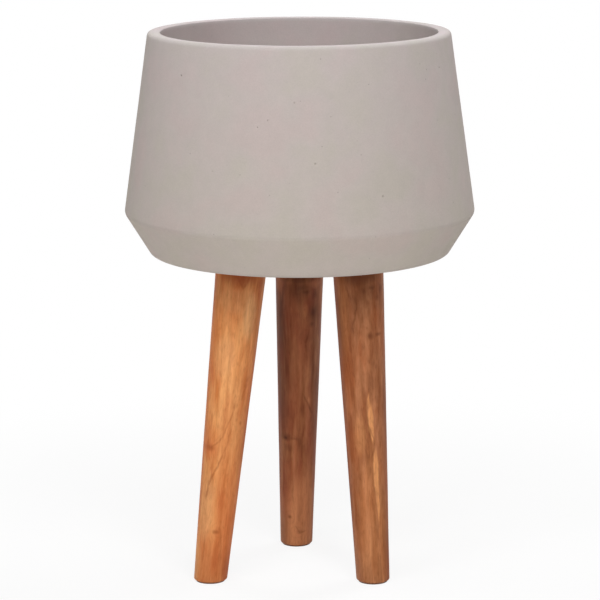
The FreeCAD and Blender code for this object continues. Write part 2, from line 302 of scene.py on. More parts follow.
def turn_rings(name, sides, rings, rounds, solid):
    """A shape turned about Z from rings of (radius, height), with rounded corners. A solid one is filled
    at both ends, and any other runs back to its first ring."""
    corners = list(rings.values())
    if not solid:
        corners.append(corners[0])
    radius, height = corners[0]
    deselect_objects()
    bpy.ops.mesh.primitive_circle_add(
        vertices=sides, radius=radius, fill_type="NGON" if solid else "NOTHING", location=(0, 0, height)
    )
    piece = new_piece(name)
    choose(piece, "EDGE", lambda edge: True)
    for next_radius, next_height in corners[1:]:
        step = (0, 0, next_height - height)
        bpy.ops.mesh.extrude_edges_move(TRANSFORM_OT_translate={"value": step})
        share = next_radius / radius
        bpy.ops.transform.resize(value=(share, share, 1), center_override=(0, 0, 0))
        radius, height = next_radius, next_height
    if solid:
        bpy.ops.mesh.edge_face_add()
    bpy.ops.mesh.select_all(action="SELECT")
    bpy.ops.mesh.remove_doubles(threshold=MERGE_DISTANCE)
    bpy.ops.mesh.normals_make_consistent(inside=False)
    end_edit()
    for corner, (reach, segments) in rounds.items():
        round_edges(piece, on_ring(piece, rings[corner]), reach, segments)
    return piece


def wave(piece, strength, length, is_free):
    """Gives some of a piece's vertices the slight unevenness of handwork."""
    free = [vertex.index for vertex in piece.data.vertices if is_free(vertex.co)]
    group = piece.vertex_groups.new(name="free")
    group.add(free, 1, "REPLACE")
    texture = bpy.data.textures.new(f"{piece.name}_waves", "CLOUDS")
    texture.noise_scale = length
    texture.noise_depth = 1
    displace = piece.modifiers.new("waves", "DISPLACE")
    displace.texture = texture
    displace.texture_coords = "LOCAL"
    displace.strength = strength
    displace.vertex_group = group.name
    apply_modifiers(piece)


# Camera
deselect_objects()
bpy.ops.object.camera_add()
camera = bpy.context.object
camera.data.sensor_width = SENSOR_WIDTH
camera.data.lens = CAMERA_LENS
dip = Matrix.Rotation(math.pi / 2 - CAMERA_DIP, 4, "X")
camera.matrix_world = Matrix.Translation(CAMERA_PLACE) @ dip @ Matrix.Rotation(CAMERA_ROLL, 4, "Z")
bpy.context.scene.camera = camera


def seen_at(piece, pixel):
    """The point and the face of a piece that a pixel of the photograph shows."""
    bpy.context.view_layer.update()
    reach = CAMERA_LENS / SENSOR_WIDTH * PICTURE_SIZE
    across = pixel[0] - PICTURE_SIZE / 2
    down = pixel[1] - PICTURE_SIZE / 2
    sight = camera.matrix_world.to_3x3() @ Vector((across, -down, -reach))
    hit, point, _, face = piece.ray_cast(CAMERA_PLACE, sight.normalized())
    return (point, face) if hit else (None, None)


# Pot
pot_low, pot_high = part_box("pot")
UNDERSIDE = pot_low.z
TOP = pot_high.z
SHOULDER = UNDERSIDE + SHOULDER_RISE
INNER_FLOOR = UNDERSIDE + FLOOR_THICKNESS
SEAT = INNER_FLOOR - DRAIN_SEAT_DEPTH


def wall_shift(low, high):
    """How far in, measured level, a slanted wall's inside lies from its outside."""
    slant = math.hypot(high[0] - low[0], high[1] - low[1])
    return WALL * slant / (high[1] - low[1])


def pot_rings():
    """The pot's corners as (radius, height), from the drain hole outwards, up, in and back to it."""
    base = (BASE_RADIUS, UNDERSIDE)
    shoulder = (SHOULDER_RADIUS, SHOULDER)
    rim = (RIM_RADIUS, TOP)
    lower_shift = wall_shift(base, shoulder)
    upper_shift = wall_shift(shoulder, rim)
    lower_rate = (shoulder[0] - base[0]) / (shoulder[1] - base[1])
    upper_rate = (rim[0] - shoulder[0]) / (rim[1] - shoulder[1])
    bend_rise = (lower_shift - upper_shift) / (lower_rate - upper_rate)
    return {
        "drain_bottom": (DRAIN_RADIUS, UNDERSIDE),
        "base": base,
        "shoulder": shoulder,
        "rim": rim,
        "inner_rim": (RIM_RADIUS - upper_shift, TOP),
        "inner_bend": (SHOULDER_RADIUS - lower_shift + lower_rate * bend_rise, SHOULDER + bend_rise),
        "inner_corner": (BASE_RADIUS - lower_shift + lower_rate * FLOOR_THICKNESS, INNER_FLOOR),
        "seat_rim": (DRAIN_SEAT_RADIUS, INNER_FLOOR),
        "seat_corner": (DRAIN_SEAT_RADIUS, SEAT),
        "drain_top": (DRAIN_RADIUS, SEAT),
    }


def divide_walls(piece):
    """Divides the walls' tall faces into level rings of small ones."""
    for _ in range(WALL_RUNS):
        vertices = piece.data.vertices
        tall = {}
        for edge in piece.data.edges:
            heights = sorted(vertices[index].co.z for index in edge.vertices)
            rise = heights[1] - heights[0]
            if rise > FACE_SPACING * 2:
                tall.setdefault((round(heights[0], 4), round(rise, 4)), set()).add(edge.index)
        if not tall:
            return
        (_, rise), edges = max(tall.items(), key=lambda run: run[0][1])
        divide_edges(piece, lambda edge: edge.index in edges, round(rise / FACE_SPACING) - 1)


def cast_pot():
    """The pot, turned and drilled for its bolts, with slightly uneven walls of small faces."""
    piece = turn_rings("pot_casting", POT_SIDES, pot_rings(), POT_ROUNDS, solid=False)
    for side in SIDES:
        place = middle_of(f"leg_bolt_{side}")
        tool = cylinder(
            "bolt_hole", BOLT_HOLE_SIDES, BOLT_HOLE_RADIUS, UNDERSIDE - WALL, INNER_FLOOR + WALL, place
        )
        join_or_cut(piece, tool, "DIFFERENCE")
    divide_walls(piece)
    even_below = INNER_FLOOR + EVEN_FLOOR_RISE
    wave(piece, CASTING_WAVINESS, CASTING_WAVE_LENGTH, lambda place: place.z > even_below)
    return piece


def air_hole_faces(piece):
    """The faces that get an air hole: those seen in the photograph, and others round the sides and back."""
    seen = [seen_at(piece, pixel)[1] for pixel in SEEN_AIR_HOLES]
    smallest, largest = [(FACE_SPACING * size) ** 2 for size in AIR_HOLE_FACE_SIZES]
    walls = [
        face.index
        for face in piece.data.polygons
        if smallest < face.area < largest and face.center.y > -PHOTOGRAPHED_DEPTH
    ]
    return seen + random.Random(4).sample(walls, UNSEEN_AIR_HOLES)


def open_air_holes(piece):
    """Sinks a small pit in the middle of each chosen face."""
    faces = air_hole_faces(piece)
    for turn, rim in enumerate(AIR_HOLE_RIMS):
        chosen = set(faces[turn::len(AIR_HOLE_RIMS)])
        choose(piece, "FACE", lambda face: face.index in chosen)
        bpy.ops.mesh.inset(thickness=rim, use_individual=True)
        bpy.ops.mesh.inset(thickness=AIR_HOLE_SLOPE, depth=-AIR_HOLE_DEPTH, use_individual=True)
        end_edit()


pot = cast_pot()
open_air_holes(pot)
smooth(pot, degrees=40)
stand_for(pot, "pot", "planter")


# Legs
leg_feet = {}  # the middle of each leg's foot
leg_tops = {}
leg_lengths = {}
leg_turns = {}  # each leg's own axes: X to the right, Y to the back and Z along the leg
for side in SIDES:
    leg_low, leg_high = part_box(f"leg_{side}")
    pad_middle = middle_of(f"felt_pad_{side}")
    bolt_middle = middle_of(f"leg_bolt_{side}")
    leg_feet[side] = Vector((pad_middle.x, pad_middle.y, leg_low.z))
    leg_tops[side] = Vector((bolt_middle.x, bolt_middle.y, leg_high.z))
    along = leg_tops[side] - leg_feet[side]
    leg_lengths[side] = along.length
    along.normalize()
    back = Vector((0, 1, 0))
    back = (back - along * back.dot(along)).normalized()
    leg_turns[side] = Matrix((back.cross(along), back, along)).transposed()


def level_edges(piece, height):
    """A test for the edges that lie at one height."""
    vertices = piece.data.vertices
    return lambda edge: all(
        abs(vertices[index].co.z - height) < LEVEL_TOLERANCE for index in edge.vertices
    )


def long_edges(piece, length):
    """A test for the edges that are longer than a length."""
    vertices = piece.data.vertices
    return lambda edge: (vertices[edge.vertices[0]].co - vertices[edge.vertices[1]].co).length > length


def turned_leg(side):
    """A tapered leg, turned about its leaning axis, cut level at both ends and drilled for its insert."""
    foot = leg_feet[side]
    top = leg_tops[side]
    length = leg_lengths[side]
    taper = (LEG_TOP_RADIUS - LEG_FOOT_RADIUS) / length
    deselect_objects()
    bpy.ops.mesh.primitive_cone_add(
        vertices=LEG_SIDES,
        radius1=LEG_FOOT_RADIUS - taper * LEG_SPARE_LENGTH,
        radius2=LEG_TOP_RADIUS + taper * LEG_SPARE_LENGTH,
        depth=length + 2 * LEG_SPARE_LENGTH,
        location=(foot + top) / 2,
        rotation=leg_turns[side].to_euler(),
    )
    piece = new_piece(f"leg_{side}_turned")
    bpy.ops.object.mode_set(mode="EDIT")
    for height, cut_away in ((foot.z, (0, 0, -1)), (top.z, (0, 0, 1))):
        bpy.ops.mesh.select_all(action="SELECT")
        bpy.ops.mesh.bisect(plane_co=(0, 0, height), plane_no=cut_away, use_fill=True, clear_outer=True)
    end_edit()
    round_edges(piece, level_edges(piece, foot.z), LEG_FOOT_EASING, segments=4)
    divide_edges(piece, long_edges(piece, LEG_LONG_EDGE), LEG_RINGS)
    wavy_from = foot.z + EVEN_FOOT_RISE
    wavy_to = top.z - EVEN_TOP_DEPTH
    wave(piece, TURNING_WAVINESS, TURNING_WAVE_LENGTH, lambda place: wavy_from < place.z < wavy_to)
    insert_low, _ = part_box(f"leg_insert_{side}")
    pocket_bottom = insert_low.z - POCKET_END_CLEARANCE
    flange_bottom = top.z - INSERT_FLANGE_THICKNESS
    above = top.z + LEG_SPARE_LENGTH
    for radius, bottom in ((INSERT_RADIUS, pocket_bottom), (INSERT_FLANGE_RADIUS, flange_bottom)):
        tool = cylinder("pocket", FASTENER_SIDES, radius + POCKET_CLEARANCE, bottom, above, top)
        join_or_cut(piece, tool, "DIFFERENCE")
    smooth(piece)
    return piece


legs = {}
for side in SIDES:
    legs[side] = turned_leg(side)
    stand_for(legs[side], f"leg_{side}", "planter")


# Bolts and threaded inserts
def thread_ridge(name, root, crest, pitch, low, high):
    """The helical ridge of a screw thread about Z, pointed and closed at both ends."""
    radius = (crest - root) / TRIANGLE_HEIGHT
    deselect_objects()
    bpy.ops.mesh.primitive_circle_add(
        vertices=3, radius=radius, fill_type="NGON", location=(crest - radius, 0, low),
        rotation=(math.pi / 2, math.pi / 2, 0),
    )
    ridge = new_piece(name)
    screw = ridge.modifiers.new("thread", "SCREW")
    screw.axis = "Z"
    screw.steps = screw.render_steps = THREAD_STEPS
    screw.screw_offset = pitch
    screw.iterations = round((high - low) / pitch)
    screw.use_merge_vertices = True
    apply_modifiers(ridge)
    choose(ridge, "FACE", lambda face: True)
    bpy.ops.mesh.remove_doubles(threshold=MERGE_DISTANCE)
    bpy.ops.mesh.fill_holes(sides=3)
    bpy.ops.mesh.normals_make_consistent(inside=False)
    end_edit()
    return ridge


def bolt_with_thread(name, low, high):
    """A button-head machine bolt about Z, with its hexagon socket and its thread."""
    seat = high - BOLT_HEAD_HEIGHT
    thread_top = low + BOLT_THREAD_LENGTH
    rings = {
        "point": (BOLT_POINT_RADIUS, low),
        "thread_bottom": (BOLT_ROOT_RADIUS, low + BOLT_POINT_LENGTH),
        "thread_top": (BOLT_ROOT_RADIUS, thread_top),
        "shank_bottom": (BOLT_RADIUS, thread_top + BOLT_THREAD_RUNOUT),
        "shank_top": (BOLT_RADIUS, seat),
        "under_head": (BOLT_HEAD_RADIUS, seat),
        "head_edge": (BOLT_HEAD_RADIUS, seat + BOLT_HEAD_EDGE),
        "dome": (BOLT_DOME_RADIUS, seat + BOLT_DOME_RISE),
        "crown": (BOLT_CROWN_RADIUS, high),
    }
    bolt = turn_rings(name, FASTENER_SIDES, rings, BOLT_ROUNDS, solid=True)
    key_radius = SOCKET_ACROSS_FLATS / 2 / math.cos(math.pi / SOCKET_SIDES)
    bottom = high - SOCKET_DEPTH
    key = cylinder("socket", SOCKET_SIDES, key_radius, bottom, high + BOLT_HEAD_HEIGHT, Vector())
    join_or_cut(bolt, key, "DIFFERENCE")
    root = BOLT_ROOT_RADIUS - BOLT_THREAD_SINK
    start = low + BOLT_THREAD_START
    ridge = thread_ridge("bolt_thread", root, BOLT_RADIUS, BOLT_THREAD_PITCH, start, thread_top)
    join_or_cut(bolt, ridge, "UNION")
    smooth(bolt)
    return bolt


def threaded_insert(name, low, high):
    """A flanged brass insert about Z, with its bore and the coarse thread that holds it in the wood."""
    under_flange = high - INSERT_FLANGE_THICKNESS
    rings = {
        "bore_bottom": (INSERT_BORE_RADIUS, low),
        "bottom": (INSERT_ROOT_RADIUS, low),
        "under_flange": (INSERT_ROOT_RADIUS, under_flange),
        "flange_bottom": (INSERT_FLANGE_RADIUS, under_flange),
        "flange_top": (INSERT_FLANGE_RADIUS, high),
        "bore_top": (INSERT_BORE_RADIUS, high),
    }
    insert = turn_rings(name, FASTENER_SIDES, rings, INSERT_ROUNDS, solid=False)
    root = INSERT_ROOT_RADIUS - INSERT_THREAD_SINK
    start = low + INSERT_PLAIN_END
    end = under_flange - INSERT_PLAIN_END
    ridge = thread_ridge("insert_thread", root, INSERT_RADIUS, INSERT_THREAD_PITCH, start, end)
    join_or_cut(insert, ridge, "UNION")
    smooth(insert)
    return insert


def copies_for_legs(first, stem, node_stem):
    """Stands one piece, modelled about Z, at each leg's bolt. Each copy has its own mesh."""
    pieces = []
    for side in SIDES:
        only(first)
        bpy.ops.object.duplicate()
        copy = bpy.context.object
        copy.location = middle_of(f"leg_bolt_{side}") * Vector((1, 1, 0))
        copy = new_piece(f"{stem}_{side}")
        stand_for(copy, f"{node_stem}_{side}", "planter")
        pieces.append(copy)
    bpy.data.objects.remove(first, do_unlink=True)
    return pieces


bolt_low, bolt_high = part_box("leg_bolt_left")
bolts = copies_for_legs(
    bolt_with_thread("bolt", bolt_low.z, bolt_high.z), "button_head_bolt", "leg_bolt"
)
insert_low, insert_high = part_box("leg_insert_left")
inserts = copies_for_legs(
    threaded_insert("insert", insert_low.z, insert_high.z), "threaded_insert", "leg_insert"
)


# Drain stopper
def moulded_stopper():
    """The rubber stopper: a hollow ribbed plug, a sealing flange and a pull knob."""
    low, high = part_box("drain_stopper")
    flange_radius = (high.x - low.x) / 2
    flange_top = SEAT + STOPPER_FLANGE_THICKNESS
    knob_bottom = high.z - KNOB_HEIGHT
    rings = {
        "hollow_top": (STOPPER_HOLLOW_RADIUS, low.z + STOPPER_HOLLOW_DEPTH),
        "hollow_mouth": (STOPPER_HOLLOW_RADIUS, low.z),
        "tip": (STOPPER_TIP_RADIUS, low.z),
    }
    for rib in reversed(range(STOPPER_RIB_COUNT)):
        rib_top = SEAT - STOPPER_FIRST_RIB - rib * STOPPER_RIB_PITCH
        rings[f"below_rib_{rib}"] = (STOPPER_NECK_RADIUS, rib_top - STOPPER_RIB_HEIGHT)
        rings[f"rib_{rib}"] = (STOPPER_RIB_RADIUS, rib_top)
        rings[f"above_rib_{rib}"] = (STOPPER_NECK_RADIUS, rib_top)
    rings["under_flange"] = (STOPPER_NECK_RADIUS, SEAT)
    rings["flange_bottom"] = (flange_radius, SEAT)
    rings["flange_top"] = (flange_radius, flange_top)
    rings["neck_bottom"] = (KNOB_NECK_RADIUS, flange_top)
    rings["neck_top"] = (KNOB_NECK_RADIUS, knob_bottom)
    rings["knob_bottom"] = (KNOB_RADIUS, knob_bottom)
    rings["knob_top"] = (KNOB_RADIUS, high.z)
    stopper = turn_rings("drain_stopper_moulded", STOPPER_SIDES, rings, STOPPER_ROUNDS, solid=True)
    smooth(stopper)
    return stopper


stopper = moulded_stopper()
stand_for(stopper, "drain_stopper", "stopper")


# Felt pads
def felt_disc(side):
    """A die-cut felt pad, its edge slightly crushed and fuzzy."""
    low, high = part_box(f"felt_pad_{side}")
    radius = (high.x - low.x) / 2
    middle = (low + high) / 2
    pad = cylinder(f"felt_pad_{side}_fuzzy", FELT_SIDES, radius, low.z, high.z, middle)
    divide_edges(pad, long_edges(pad, (high.z - low.z) * FELT_UPRIGHT_SHARE), FELT_EDGE_CUTS)
    for height in (low.z, high.z):
        round_edges(pad, level_edges(pad, height), FELT_EDGE_ROUND, segments=2)
    fuzzy_from = low.z + FELT_EVEN_DEPTH
    fuzzy_to = high.z - FELT_EVEN_DEPTH
    wave(pad, FELT_FUZZ, FELT_FUZZ_LENGTH, lambda place: fuzzy_from < place.z < fuzzy_to)
    smooth(pad, degrees=60)
    return pad


felt_pads = []
for side in SIDES:
    felt_pads.append(felt_disc(side))
    stand_for(felt_pads[-1], f"felt_pad_{side}", "planter")


# Materials
def linear(hex_colour):
    """An sRGB hex colour as linear red, green, blue and alpha."""
    channels = [int(hex_colour[start:start + 2], 16) / 255 for start in (1, 3, 5)]
    return tuple(c / 12.92 if c <= 0.04045 else ((c + 0.055) / 1.055) ** 2.4 for c in channels) + (1,)


def link(source, socket):
    """Links an output, or a node's first output, to an input."""
    output = source.outputs[0] if isinstance(source, bpy.types.Node) else source
    socket.id_data.links.new(output, socket)


def add_node(tree, kind, values=None, links=None, stops=None, **settings):
    """One node with its settings, input values, incoming links and, on a ramp, its colour stops."""
    node = tree.nodes.new(f"ShaderNode{kind}")
    for name, value in settings.items():
        setattr(node, name, value)
    for socket, value in (values or {}).items():
        node.inputs[socket].default_value = value
    for socket, source in (links or {}).items():
        link(source, node.inputs[socket])
    for index, (position, hex_colour) in enumerate(stops or ()):
        elements = node.color_ramp.elements
        element = elements[index] if index < len(elements) else elements.new(position)
        element.position = position
        element.color = linear(hex_colour)
    return node


def new_material(name, **shader_values):
    """A node material, what adds its nodes, its shader with values set, and the place on the piece."""
    material = bpy.data.materials.new(name)
    material.use_nodes = True
    material.node_tree.nodes.clear()
    add = functools.partial(add_node, material.node_tree)
    shader = add("BsdfPrincipled")
    for socket, value in shader_values.items():
        shader.inputs[socket.replace("_", " ")].default_value = value
    add("OutputMaterial", links={"Surface": shader})
    return material, add, shader, add("TexCoord").outputs["Object"]


def link_surface(add, shader, colour, roughness, gloss_pattern, relief, relief_pattern):
    """The shader's colour, its (low, high) roughness by a pattern and its (strength, depth) relief."""
    low, high = roughness
    rough = add("MapRange", {"To Min": low, "To Max": high}, {"Value": gloss_pattern})
    strength, depth = relief
    raised = add("Bump", {"Strength": strength, "Distance": depth}, {"Height": relief_pattern})
    link(colour, shader.inputs["Base Color"])
    link(rough, shader.inputs["Roughness"])
    link(raised, shader.inputs["Normal"])


# Concrete: the size, detail and roughness of the noise of its clouds, its mottle and its sand. Real sand
# is under 0.5 mm, and is drawn as coarse as it needs to show.
CONCRETE_NOISES = ((mm(48), 3, 0.5), (mm(13), 4, 0.6), (mm(1.4), 2, 0.6))
MOTTLE_DEPTH = 0.022
SAND_DEPTH = 0.035
PIN_HOLE_SPACING = mm(17)
INSIDE_DEPTHS = (mm(2), mm(7))  # in from the rim's edge, from where the pot is toned as outside to inside
# The inside is painted paler than the outside, as painted light on its shaded walls, and a little bluer.
INSIDE_PAINTED_LIGHT_AND_TINT = (1.08, 1.08, 1.11)  # of the pot's inside against its outside, in red, green and blue


def cast_concrete():
    """Fine grey concrete, cast in a mould and left unsealed."""
    # Matt, warm grey with faint pink and green clouds, sandy grain and pin holes, the finer of them painted
    # as
    # dark dots: painted shade. The trowelled rim is cooler, and paler as painted light from above. The
    # inside is bluer, and paler as painted light on its shaded walls. The lower wall, which dried last, is
    # yellower, and paler as painted light bounced up from the floor.
    material, add, shader, place = new_material(
        "cast_concrete", IOR=1.5, Specular_IOR_Level=0.15, Diffuse_Roughness=0.3
    )
    height = add("SeparateXYZ", links={0: place}).outputs["Z"]
    level = add("MapRange", {"From Min": UNDERSIDE, "From Max": TOP}, {"Value": height})
    # Paler below the shoulder and at the rim's top: painted light bounced from the floor, and painted light
    # from above.
    tone_and_painted_light_by_level = add(
        "ValToRGB", links={"Fac": level},
        stops=[(0.175, "#BFB5AD"), (0.195, "#B4ABA5"), (0.98, "#B5ACA9"), (0.995, "#B9B2B0")],
    )
    clouds, mottle, sand = [
        add("TexNoise", {"Scale": 1 / size, "Detail": detail, "Roughness": rough}, {"Vector": place})
        for size, detail, rough in CONCRETE_NOISES
    ]
    tint = add(
        "ValToRGB", links={"Fac": clouds}, stops=[(0.36, "#FFFAFA"), (0.5, "#FDFCFB"), (0.64, "#FBFCF7")]
    )
    outside_tone = add(
        "Mix", {"Factor": 1}, {6: tone_and_painted_light_by_level, 7: tint}, data_type="RGBA", blend_type="MULTIPLY"
    ).outputs[2]
    flat = add("VectorMath", {1: (1, 1, 0)}, {0: place}, operation="MULTIPLY")
    radius = add("VectorMath", links={0: flat}, operation="LENGTH")
    start, end = [RIM_RADIUS - depth for depth in INSIDE_DEPTHS]
    inside = add("MapRange", {"From Min": start, "From Max": end}, {"Value": radius.outputs["Value"]})
    inside_tone_with_painted_light = add("VectorMath", {1: INSIDE_PAINTED_LIGHT_AND_TINT}, {0: outside_tone}, operation="MULTIPLY")
    tone = add(
        "Mix", links={"Factor": inside, 6: outside_tone, 7: inside_tone_with_painted_light}, data_type="RGBA"
    ).outputs[2]
    # The finer pin holes are dark dots at the cells' points: painted shade of holes that the mesh does not
    # have.
    cells = add("TexVoronoi", {"Scale": 1 / PIN_HOLE_SPACING}, {"Vector": place})
    shade = add(
        "MapRange", {"From Min": 0.025, "From Max": 0.05, "To Min": 0.7, "To Max": 1}, {"Value": cells}
    )
    for pattern, depth in ((mottle, MOTTLE_DEPTH), (sand, SAND_DEPTH)):
        part = add(
            "MapRange", {"From Min": 0.3, "From Max": 0.7, "To Min": 1 - depth, "To Max": 1 + depth},
            {"Value": pattern},
        )
        shade = add("Math", links={0: shade, 1: part}, operation="MULTIPLY")
    colour = add("VectorMath", links={0: tone, "Scale": shade}, operation="SCALE")
    link_surface(add, shader, colour, (0.8, 0.95), mottle, (0.25, mm(0.5)), sand)
    return material


# Marks on the legs, by the pixels of the photograph where they show, and how dark each is from 0 to 1.
# Most are in the wood. Some dark patches are painted shade of the pot, and some pale ones painted light.
# A knot or a patch is its pixel across and down, half its width and half its length in millimetres, and
# its darkness. A line is half its width, its darkness and the pixels that it runs through.
KNOTS = {
    "left": (
        (243, 279, 2.34, 7.8, 0.58), (209.5, 447, 5.5, 3, 0.5), (208, 443, 1.3, 3.38, 0.36),
        (234.4, 407, 1.17, 3.12, 0.43), (237, 405.5, 1.04, 2.34, 0.32), (240.5, 423, 1.3, 2.08, 0.4),
        (215.6, 532, 3, 1.9, 0.6), (219, 529, 1.04, 2.34, 0.29), (236, 420, 1.04, 1.82, 0.25),
        (206, 495, 1.56, 3.38, 0.25),
    ),
    "right": (
        (370, 336, 3, 3.2, 0.65), (378.2, 334, 2.6, 1.8, 0.6), (363.3, 347, 2.08, 3.52, 0.28),
        (373.5, 363.5, 1.76, 4.48, 0.35), (369.5, 360, 2.24, 3.52, 0.2), (352, 329, 2.24, 5.44, 0.28),
        (366.5, 458, 3.6, 4.2, 0.2), (377, 297, 1.9, 3.2, 0.42), (371, 288, 2.8, 1.8, 0.42),
        (364, 291, 1.7, 2.6, 0.38), (380.5, 288, 1.6, 3, 0.35), (368, 303, 1.8, 2.4, 0.25),
        (355.5, 300, 1.5, 3.2, 0.25),
    ),
    "back": (
        (313.4, 312.5, 5.4, 8.4, 0.6), (313.2, 312.5, 3.6, 6.2, 0.75), (312, 324, 2.4, 3.2, 0.5),
        (306, 292, 3.6, 2.2, 0.5), (315, 294, 2.75, 3.8, 0.4), (302.5, 288, 5, 2.6, 0.35),
        (286, 437, 5, 3.6, 0.6), (285.6, 437.4, 2.8, 2.4, 0.9), (289.8, 517, 1.9, 1.7, 0.48),
        (300, 532, 3.2, 1.8, 0.28), (292.5, 438.5, 6, 1.6, 0.35), (288, 447, 4, 4.5, 0.35),
        (308, 338, 4, 4, 0.2),
    ),
}
DARK_LINES = {
    "left": (
        (1.93, 0.36, ((247.8, 377), (246.6, 383), (245, 388))),
        (0.88, 0.33, ((245, 388), (243, 394), (241.7, 399))),
        (0.88, 0.3, ((233, 413), (227.8, 424), (223.3, 435.5), (218.9, 441.7), (212.8, 446))),
        (0.88, 0.23, ((231, 430), (226.7, 446), (222.2, 456))),
        (1.05, 0.46, ((222.2, 456), (217.8, 466), (214.5, 472), (211, 478), (208.3, 486), (206.5, 496))),
        (0.88, 0.33, ((205, 538), (203.8, 549), (202.6, 560))),
        (1.57, 0.2, ((254.5, 309), (252, 325), (249, 338.7), (245.5, 350))),
        (1.22, 0.4, ((237.5, 276), (240, 283), (243, 288))),
        (1.22, 0.4, ((249.5, 277), (246.5, 284), (243.5, 288))),
        (0.88, 0.3, ((220.6, 533), (220.6, 545), (220, 560))),
    ),
    "right": (
        (1.19, 0.3, ((345.6, 286), (347.5, 293), (350.5, 299))),
        (1.02, 0.4, ((356, 310), (354.6, 318), (352.8, 326), (353.2, 334))),
        (1.02, 0.23, ((362.5, 316), (360.5, 326), (359, 336))),
        (1.7, 0.17, ((351.5, 334), (350.6, 342), (350, 352))),
        (1.36, 0.2, ((366, 392), (367.4, 400), (368, 408))),
        (1.36, 0.3, ((376.5, 396), (378, 405), (378.3, 415), (377.2, 426))),
        (0.85, 0.3, ((368, 425), (371, 432), (374, 439), (375, 447), (371.7, 456))),
        (1.02, 0.23, ((382, 486), (382.4, 497), (381.4, 509))),
        (1.02, 0.23, ((372, 500), (374.4, 513), (376.7, 528), (379, 540))),
    ),
    "back": (
        (1.36, 0.29, ((286, 279), (283.5, 292), (281, 306), (280.5, 318))),
        (1.19, 0.26, ((290, 290), (290, 310), (291, 330))),
        (1.02, 0.36, ((304.5, 397), (307.5, 403), (311, 411))),
        (1.02, 0.26, ((308, 336), (305.5, 344), (306.5, 350))),
        (1.02, 0.26, ((293, 487), (292.6, 494), (293.4, 503))),
        (0.85, 0.23, ((296, 527), (300, 533), (305, 531))),
    ),
}
DARK_PATCHES_AND_PAINTED_SHADE = {
    "left": (
        # The first two are painted shade under the pot, on the leg's top. The rest are darker patches, and
        # darker towards the foot.
        (243, 276, 34, 9.5, 0.85), (260, 281, 8, 10, 0.5), (239, 400, 7, 44, 0.2), (242, 440, 6, 26, 0.2),
        (200, 480, 6, 20, 0.38), (208, 576, 16, 30, 0.36), (225, 570, 6, 18, 0.5), (214, 488, 8, 9, 0.15),
        (195, 570, 5, 18, 0.3),
    ),
    "right": (
        # The first three are painted shade under the pot, on the leg's top. The rest are darker patches,
        # and darker towards the foot.
        (362, 276, 34, 10, 0.85), (370, 286, 13, 11, 0.42), (345, 284, 6, 9, 0.15),
        (360, 348, 20, 62, 0.12), (373, 345, 6, 32, 0.36), (383, 392, 5, 56, 0.3),
        (371.5, 385, 5, 15, 0.45), (382, 436, 4, 16, 0.25), (353, 424, 4, 10, 0.25), (358, 566, 6, 24, 0.3),
        (386, 556, 4, 26, 0.25), (372, 576, 18, 16, 0.3),
    ),
    "back": (
        # The first three are painted shade under the pot, on the leg's top. The next five darken its upper
        # part, partly its own tone and partly painted shadow of the pot. The last two are darker patches.
        (300, 277, 34, 9, 0.7), (298, 289, 20, 14, 0.5), (312, 298, 9, 9, 0.3), (281, 330, 6, 48, 0.4),
        (316, 335, 5, 34, 0.3), (282, 390, 9, 56, 0.62), (314, 400, 4, 52, 0.42), (290, 376, 5, 36, 0.3),
        (281, 440, 5, 12, 0.2), (284, 530, 6, 22, 0.35),
    ),
}
RED_SHADES = {
    "left": (
        (239, 304, 14, 22, 0.35), (258, 302, 5, 32, 0.5), (250, 384, 8, 40, 0.5), (243, 442, 9, 46, 0.4),
        (230, 505, 9, 50, 0.45), (210, 562, 15, 36, 0.5), (209, 448, 8, 8, 0.5),
    ),
    "right": (
        (348, 345, 5, 70, 0.4), (352, 440, 5, 60, 0.3), (364, 520, 4, 40, 0.3), (383, 330, 4, 44, 0.25),
        (384, 450, 4, 60, 0.25),
    ),
    "back": (
        (290, 316, 8, 26, 0.5), (303, 345, 9, 30, 0.5), (308, 305, 5, 12, 0.6), (311, 430, 6, 50, 0.5),
        (292, 395, 8, 40, 0.4), (286, 500, 5, 36, 0.35), (280, 285, 5, 8, 0.5), (315, 284, 7, 6, 0.6),
    ),
}
PALE_STREAKS_AND_PAINTED_LIGHT = {
    "left": (
        # (236, 302) lightens the leg just below the painted shade at its top. The rest are paler streaks
        # and patches.
        (238, 297, 0.6, 9, 0.4), (224, 358, 12, 24, 0.4), (207, 508, 7, 36, 0.55), (226, 420, 9, 60, 0.2),
        (250, 316, 7, 25, 0.75), (236, 302, 20, 13, 0.22),
    ),
    "right": (
        # The first five make one pale streak. The broad patch at the foot, (374, 540), is painted light on
        # the leg's lower part. The last two are paler patches.
        (370.4, 418, 3, 15, 0.95), (372.2, 432, 1.8, 12, 0.85), (368.6, 402, 1.4, 8, 0.8),
        (376, 473, 2.9, 25, 0.9), (378, 500, 1.9, 24, 0.75), (374, 540, 16, 95, 0.28),
        (344, 310, 5, 44, 0.25), (360, 436, 6, 22, 0.36),
    ),
    "back": (
        # The broad patches at the foot, (304, 533) and (308, 528), are painted light on the leg's lower
        # part. The rest are paler streaks and patches.
        (308.6, 401, 0.8, 5, 0.6), (298, 372, 7, 52, 0.18), (304, 533, 22, 75, 0.62),
        (279, 284, 3.6, 8, 0.3), (315, 284, 6.5, 5, 0.35), (306, 311, 2.6, 8, 0.3), (308, 528, 6, 24, 0.62),
        (299, 424, 5, 16, 0.2),
    ),
}

